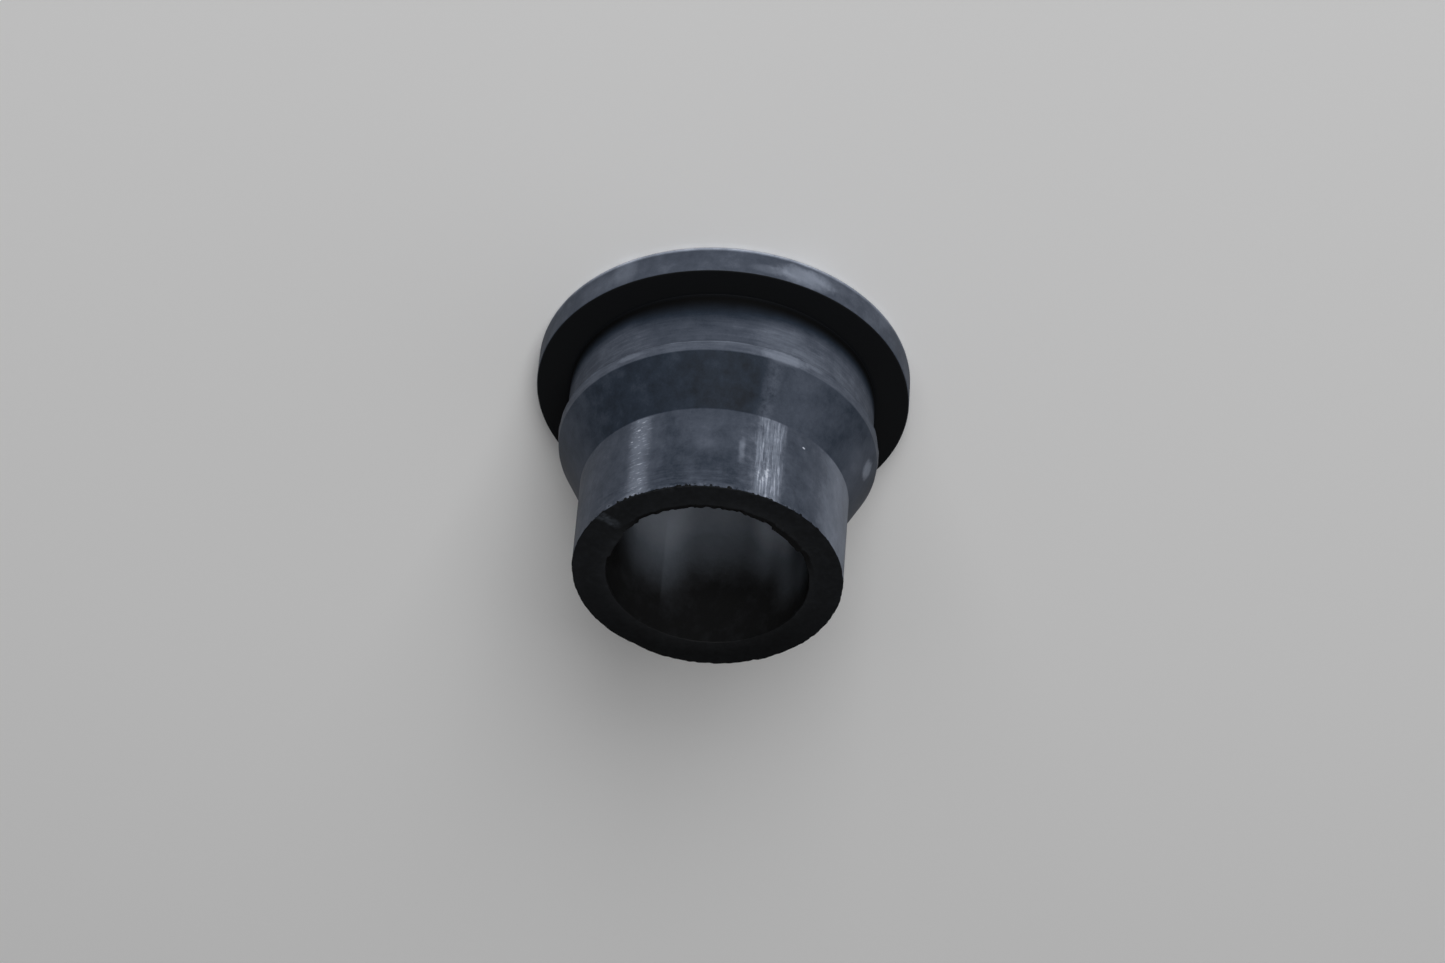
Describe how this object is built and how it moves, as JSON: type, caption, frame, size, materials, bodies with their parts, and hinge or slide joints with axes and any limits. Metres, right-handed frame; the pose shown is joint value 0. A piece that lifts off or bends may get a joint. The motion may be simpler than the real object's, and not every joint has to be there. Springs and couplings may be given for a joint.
{
  "type": "rubber sleeve",
  "caption": "Moulded rubber sleeve with a plain through bore, a round flange, a shallow panel groove, a low barb, a lead-in cone and a straight nose.",
  "frame": {"origin": "centre of the flange's outer face, on the axis of the bore", "axes": "+Z along the bore, from the flange towards the nose; the part is round, so X and Y are free"},
  "size_m": [0.0284, 0.0284, 0.0201],
  "materials": {
    "rubber": "matte"
  },
  "bodies": {
    "root": {"sleeve": "rubber"}
  },
  "joints": []
}
